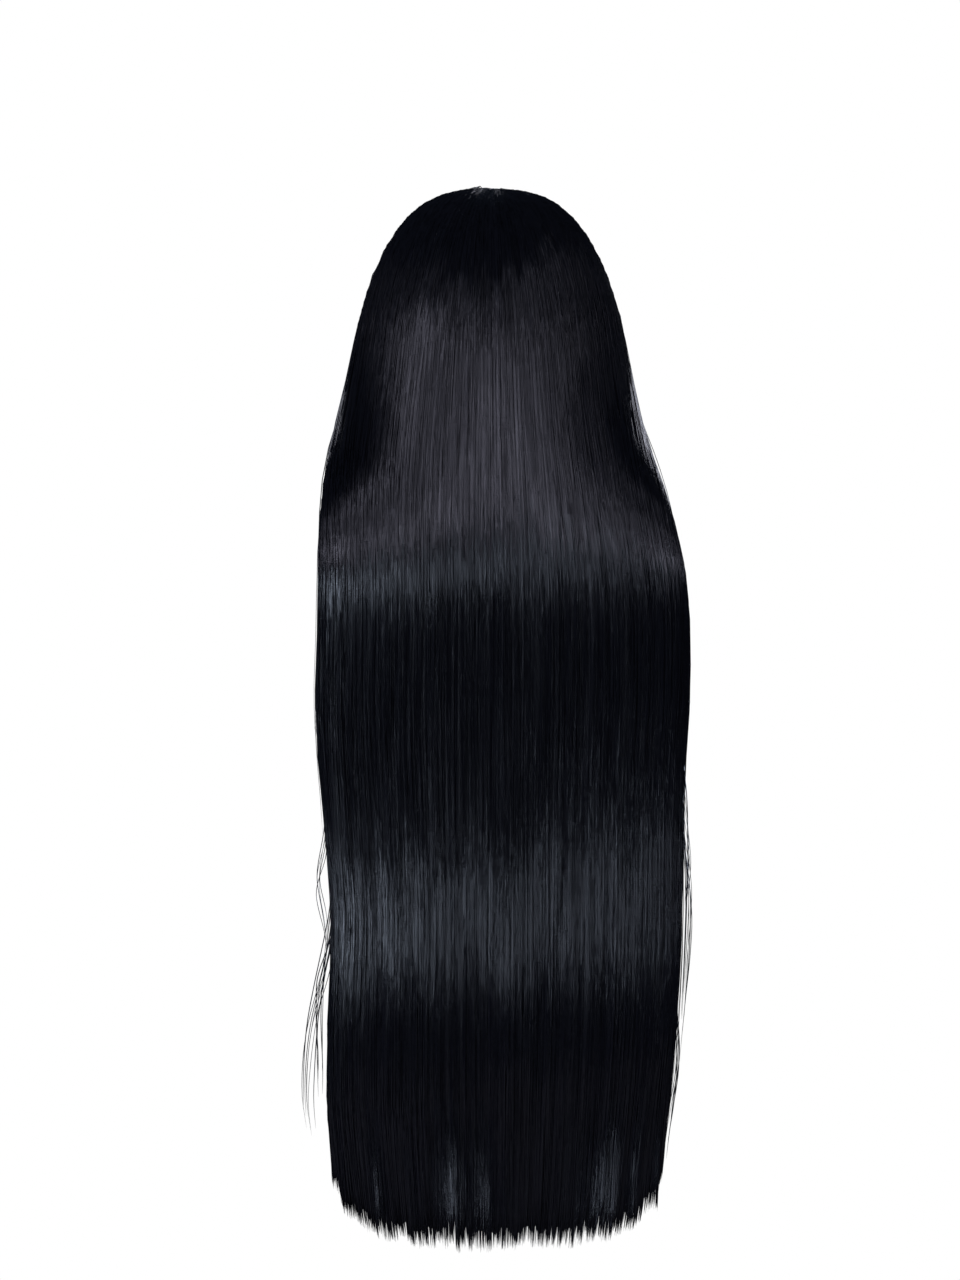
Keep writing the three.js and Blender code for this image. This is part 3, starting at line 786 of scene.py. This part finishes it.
def net_material():
    """Fine dark stretch net, plain on the edge band."""
    n = Nodes("cap_net")
    band = n.add("Attribute", attribute_name="shade").outputs["Fac"]
    uv = n.add("UVMap", uv_map="strands").outputs["UV"]
    turned = n.add("Mapping", {"Vector": uv, "Scale": (420, 420, 1), "Rotation": (0, 0, math.radians(45))})
    x, y = [
        n.add("Math", {0: n.add("SeparateXYZ", {0: turned.outputs["Vector"]}).outputs[axis]}, operation="PINGPONG")
        for axis in (0, 1)
    ]
    for node in (x, y):
        node.inputs[1].default_value = 0.5
    thread = n.add("Math", {0: x.outputs[0], 1: y.outputs[0]}, operation="MINIMUM").outputs[0]
    hole = n.add("MapRange", {"Value": thread, "From Min": 0.1, "From Max": 0.2}).outputs["Result"]
    open_net = n.add("Math", {0: hole, 1: n.add("Math", {0: 1.0, 1: band}, operation="SUBTRACT").outputs[0]},
                     operation="MULTIPLY").outputs[0]
    colour = n.add("Mix", {0: open_net, 6: (*NET_THREAD, 1), 7: (*NET_HOLE, 1)}, data_type="RGBA")
    n.link(colour.outputs[2], "Base Color")
    relief = n.add("Bump", {"Height": open_net, "Strength": 0.7, "Distance": 0.0004}, invert=True)
    n.link(relief.outputs["Normal"], "Normal")
    n.shader.inputs["Roughness"].default_value = 0.75
    return n.material


def area_light(name, place, target, size, radiance, colour):
    """A soft box at place, facing target, that shines with an even radiance."""
    data = bpy.data.lights.new(name, "AREA")
    data.shape = "RECTANGLE"
    data.size, data.size_y = size
    data.energy = radiance * size[0] * size[1] * 4
    data.color = colour
    light = bpy.data.objects.new(name, data)
    bpy.context.scene.collection.objects.link(light)
    light.location = place
    aim(light, target)
    light.visible_camera = False
    return light


def aim(thing, target):
    """Turns a light or a camera to look at a point."""
    thing.rotation_euler = (Vector(target) - thing.location).to_track_quat("-Z", "Y").to_euler()


def camera():
    """The photograph's view: level, straight on to the back of the wig."""
    data = bpy.data.cameras.new("camera")
    data.sensor_width = SENSOR
    data.lens = SENSOR * CAMERA_DISTANCE / (FRAME_HEIGHT * MM)
    data.clip_end = 50
    thing = bpy.data.objects.new("camera", data)
    bpy.context.scene.collection.objects.link(thing)
    x, y, z = [value * MM for value in FRAME_MIDDLE]
    thing.location = (x, y + CAMERA_DISTANCE, z)
    aim(thing, (x, y, z))
    bpy.context.scene.camera = thing


def emission_seen_by_camera(tree, colour, strength, other):
    """Mixes a plain glow, which only the camera sees, with the shader that everything else sees."""
    nodes, links = tree.nodes, tree.links
    path = nodes.new("ShaderNodeLightPath")
    glow = nodes.new("ShaderNodeEmission" if other.bl_idname != "ShaderNodeBackground" else "ShaderNodeBackground")
    glow.inputs["Color"].default_value = (*colour, 1)
    glow.inputs["Strength"].default_value = strength
    both = nodes.new("ShaderNodeMixShader")
    links.new(path.outputs["Is Camera Ray"], both.inputs[0])
    links.new(other.outputs[0], both.inputs[1])
    links.new(glow.outputs[0], both.inputs[2])
    return both


def world():
    """A white studio for the camera, and a dim cool one for everything that the hair reflects."""
    made = bpy.data.worlds.new("studio")
    made.use_nodes = True
    dim = made.node_tree.nodes["Background"]
    dim.inputs["Color"].default_value = (*AMBIENT, 1)
    dim.inputs["Strength"].default_value = AMBIENT_STRENGTH
    both = emission_seen_by_camera(made.node_tree, (1, 1, 1), 1, dim)
    made.node_tree.links.new(both.outputs[0], made.node_tree.nodes["World Output"].inputs["Surface"])
    bpy.context.scene.world = made
    bpy.context.scene.view_settings.view_transform = "Standard"


def floor():
    """A plain pale floor under the hanging wig."""
    z = cad_low.z - FLOOR_BELOW
    bpy.ops.mesh.primitive_circle_add(vertices=96, radius=FLOOR_RADIUS, fill_type="NGON", location=(0, 0, z))
    piece = bpy.context.object
    piece.name = "floor"
    material = bpy.data.materials.new("floor")
    material.use_nodes = True
    tree = material.node_tree
    shader = tree.nodes["Principled BSDF"]
    shader.inputs["Base Color"].default_value = (*FLOOR_COLOUR, 1)
    shader.inputs["Roughness"].default_value = 0.9
    both = emission_seen_by_camera(tree, (1, 1, 1), 1, shader)
    tree.links.new(both.outputs[0], tree.nodes["Material Output"].inputs["Surface"])
    piece.data.materials.append(material)
    piece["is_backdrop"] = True


def finish_piece(piece, material, slot, *nodes):
    """Gives a piece its material and its body, and hides the frame's nodes that it stands for."""
    piece.data.materials.append(material)
    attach(piece, "root")
    if nodes:
        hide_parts(*nodes)


camera()
world()
floor()
for light in LIGHTS:
    area_light(**light)

HAIR_DARK = (0.0015, 0.0017, 0.0026)
mass_look = hair_material("hair_mass", HAIR_DARK, (0.008, 0.008, 0.012), (0.22, 0.36), 0.0006, 0.0001)
strand_look = hair_material("hair_strands", HAIR_DARK, (0.012, 0.012, 0.018), (0.11, 0.22), 0.0011, 0.00002)

finish_piece(cap_net(), net_material(), "cap_net", "cap")
finish_piece(top_mass(), mass_look, "hair", "top_hair")
for panel in UNDER_PANELS:
    finish_piece(under_mass(panel), mass_look, "hair", panel["name"])
for name, low, high in TOP_PARTS:
    count = round(TOP_STRANDS * (high - low) / 2)
    finish_piece(top_strands("top_strands_" + name, low, high, count), strand_look, "hair")
for name, low, high in UNDER_PARTS:
    count = round(UNDER_STRANDS * (high - low) / 2)
    finish_piece(under_strands("under_strands_" + name, low, high, count), strand_look, "hair")

finish_piece(wisps(), strand_look, "hair")
finish_piece(flyaways(), strand_look, "hair")

low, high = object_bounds()
